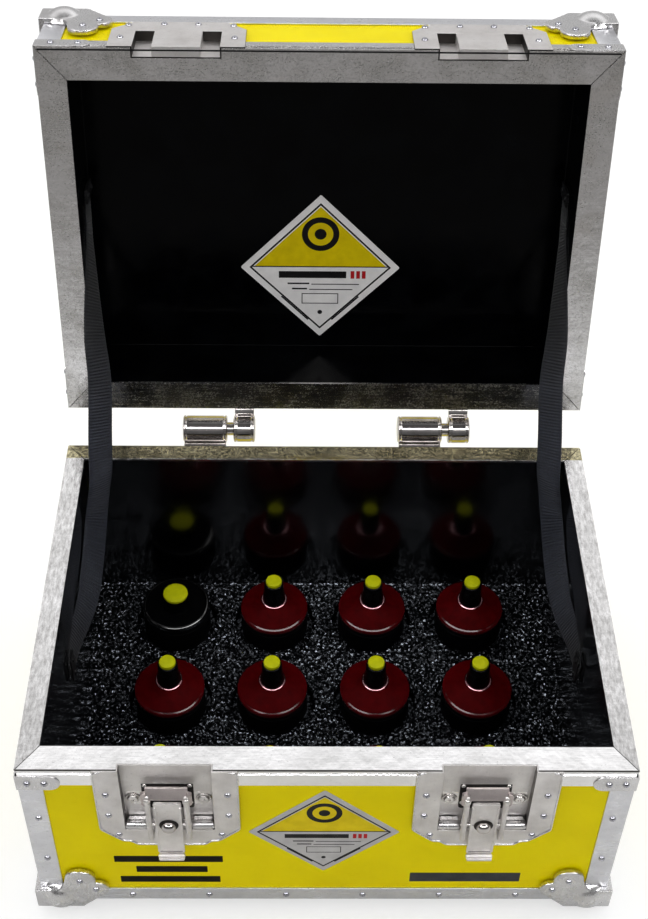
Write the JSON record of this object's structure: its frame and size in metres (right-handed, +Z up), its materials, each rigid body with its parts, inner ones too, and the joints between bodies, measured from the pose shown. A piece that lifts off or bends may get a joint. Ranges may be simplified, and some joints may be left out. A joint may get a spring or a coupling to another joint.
{
  "type": "canister transport case",
  "caption": "Yellow hard transport case with aluminium edges, ball corners, a leaning hinged lid, toggle latches, lid straps and a pebbled insert holding knobbed canisters.",
  "frame": {"origin": "on the floor plane, midway between the four ball-corner feet, which is the centre of the base footprint", "axes": "+X to the right seen from the latch side, +Y to the rear towards the hinges, +Z up; the latches face -Y; the lid rests leaning 100 degrees open"},
  "size_m": [0.495, 0.5248, 0.5668],
  "materials": {
    "yellow_board": "satin laminate on board",
    "aluminium_trim": "brushed",
    "plated_steel": "satin plated",
    "rivet_steel": "satin",
    "latch_steel": "satin plated",
    "hinge_chrome": "polished",
    "gloss_lining": "high gloss",
    "pebbled_insert": "glossy pebbled",
    "canister_red": "satin",
    "canister_black": "satin",
    "label_print": "printed film",
    "marking_black": "matte print",
    "strap_webbing": "woven",
    "handle_bar": "satin black"
  },
  "bodies": {
    "base": {"base_ball_corners": "plated_steel", "base_bottom_angles": "aluminium_trim", "base_bottom_panel": "yellow_board", "base_corner_angles": "aluminium_trim", "base_front_panel": "yellow_board", "base_label": "label_print", "base_latch_dishes": "plated_steel", "base_liner": "gloss_lining", "base_markings": "marking_black", "base_rear_panel": "yellow_board", "base_rim_brackets": "plated_steel", "base_rim_frame": "aluminium_trim", "base_rivets": "rivet_steel", "base_side_panels": "yellow_board", "base_strap_anchors": "rivet_steel", "base_strap_ends": "strap_webbing", "foam_insert": "pebbled_insert", "handle_plates": "plated_steel", "hinge_base_leaves": "hinge_chrome", "hinge_base_screws": "rivet_steel", "hinge_pins": "hinge_chrome", "latch_chassis": "plated_steel", "latch_lever_pins": "rivet_steel"},
    "lid": {"hinge_lid_leaves": "hinge_chrome", "hinge_lid_screws": "rivet_steel", "lid_ball_corners": "plated_steel", "lid_corner_angles": "aluminium_trim", "lid_front_panel": "yellow_board", "lid_label": "label_print", "lid_latch_dishes": "plated_steel", "lid_latch_strikes": "plated_steel", "lid_liner": "gloss_lining", "lid_rear_panel": "yellow_board", "lid_rim_brackets": "plated_steel", "lid_rim_frame": "aluminium_trim", "lid_rivets": "rivet_steel", "lid_side_panels": "yellow_board", "lid_strap_anchors": "rivet_steel", "lid_strap_ends": "strap_webbing", "lid_top_angles": "aluminium_trim", "lid_top_panel": "yellow_board"},
    "latch_lever_left": {"latch_lever_left": "latch_steel"},
    "latch_lever_right": {"latch_lever_right": "latch_steel"},
    "latch_hook_left": {"latch_hook_left": "latch_steel"},
    "latch_hook_right": {"latch_hook_right": "latch_steel"},
    "side_handle_left": {"side_handle_left": "handle_bar"},
    "side_handle_right": {"side_handle_right": "handle_bar"},
    "canister_front_1": {"canister_front_1": "canister_red"},
    "canister_front_2": {"canister_front_2": "canister_red"},
    "canister_front_3": {"canister_front_3": "canister_red"},
    "canister_front_4": {"canister_front_4": "canister_red"},
    "canister_middle_1": {"canister_middle_1": "canister_red"},
    "canister_middle_2": {"canister_middle_2": "canister_red"},
    "canister_middle_3": {"canister_middle_3": "canister_red"},
    "canister_middle_4": {"canister_middle_4": "canister_red"},
    "canister_rear_1": {"canister_rear_1": "canister_black"},
    "canister_rear_2": {"canister_rear_2": "canister_red"},
    "canister_rear_3": {"canister_rear_3": "canister_red"},
    "canister_rear_4": {"canister_rear_4": "canister_red"}
  },
  "joints": [
    {"name": "lid_hinge", "type": "hinge", "parent": "base", "child": "lid", "pos_m": [0, 0.194, 0.20575], "axis": [1, 0, 0], "range_deg": [0, 100]},
    {"name": "latch_lever_left_pivot", "type": "hinge", "parent": "base", "child": "latch_lever_left", "pos_m": [-0.1225, -0.17535, 0.162], "axis": [-1, 0, 0], "range_deg": [0, 150]},
    {"name": "latch_hook_left_pivot", "type": "hinge", "parent": "latch_lever_left", "child": "latch_hook_left", "pos_m": [-0.1225, -0.17535, 0.137], "axis": [-1, 0, 0], "range_deg": [-150, 0]},
    {"name": "latch_lever_right_pivot", "type": "hinge", "parent": "base", "child": "latch_lever_right", "pos_m": [0.1225, -0.17535, 0.162], "axis": [-1, 0, 0], "range_deg": [0, 150]},
    {"name": "latch_hook_right_pivot", "type": "hinge", "parent": "latch_lever_right", "child": "latch_hook_right", "pos_m": [0.1225, -0.17535, 0.137], "axis": [-1, 0, 0], "range_deg": [-150, 0]},
    {"name": "side_handle_left_pivot", "type": "hinge", "parent": "base", "child": "side_handle_left", "pos_m": [-0.241, 0, 0.135], "axis": [0, 1, 0], "range_deg": [0, 95]},
    {"name": "side_handle_right_pivot", "type": "hinge", "parent": "base", "child": "side_handle_right", "pos_m": [0.241, 0, 0.135], "axis": [0, -1, 0], "range_deg": [0, 95]},
    {"name": "canister_front_1_lift", "type": "slide", "parent": "base", "child": "canister_front_1", "axis": [0, 0, 1], "range_m": [0, 0.1]},
    {"name": "canister_front_2_lift", "type": "slide", "parent": "base", "child": "canister_front_2", "axis": [0, 0, 1], "range_m": [0, 0.1]},
    {"name": "canister_front_3_lift", "type": "slide", "parent": "base", "child": "canister_front_3", "axis": [0, 0, 1], "range_m": [0, 0.1]},
    {"name": "canister_front_4_lift", "type": "slide", "parent": "base", "child": "canister_front_4", "axis": [0, 0, 1], "range_m": [0, 0.1]},
    {"name": "canister_middle_1_lift", "type": "slide", "parent": "base", "child": "canister_middle_1", "axis": [0, 0, 1], "range_m": [0, 0.1]},
    {"name": "canister_middle_2_lift", "type": "slide", "parent": "base", "child": "canister_middle_2", "axis": [0, 0, 1], "range_m": [0, 0.1]},
    {"name": "canister_middle_3_lift", "type": "slide", "parent": "base", "child": "canister_middle_3", "axis": [0, 0, 1], "range_m": [0, 0.1]},
    {"name": "canister_middle_4_lift", "type": "slide", "parent": "base", "child": "canister_middle_4", "axis": [0, 0, 1], "range_m": [0, 0.1]},
    {"name": "canister_rear_1_lift", "type": "slide", "parent": "base", "child": "canister_rear_1", "axis": [0, 0, 1], "range_m": [0, 0.1]},
    {"name": "canister_rear_2_lift", "type": "slide", "parent": "base", "child": "canister_rear_2", "axis": [0, 0, 1], "range_m": [0, 0.1]},
    {"name": "canister_rear_3_lift", "type": "slide", "parent": "base", "child": "canister_rear_3", "axis": [0, 0, 1], "range_m": [0, 0.1]},
    {"name": "canister_rear_4_lift", "type": "slide", "parent": "base", "child": "canister_rear_4", "axis": [0, 0, 1], "range_m": [0, 0.1]}
  ],
  "couplings": [
    {"joint": "latch_hook_left_pivot", "follows": "latch_lever_left_pivot", "ratio": -1},
    {"joint": "latch_hook_right_pivot", "follows": "latch_lever_right_pivot", "ratio": -1}
  ]
}
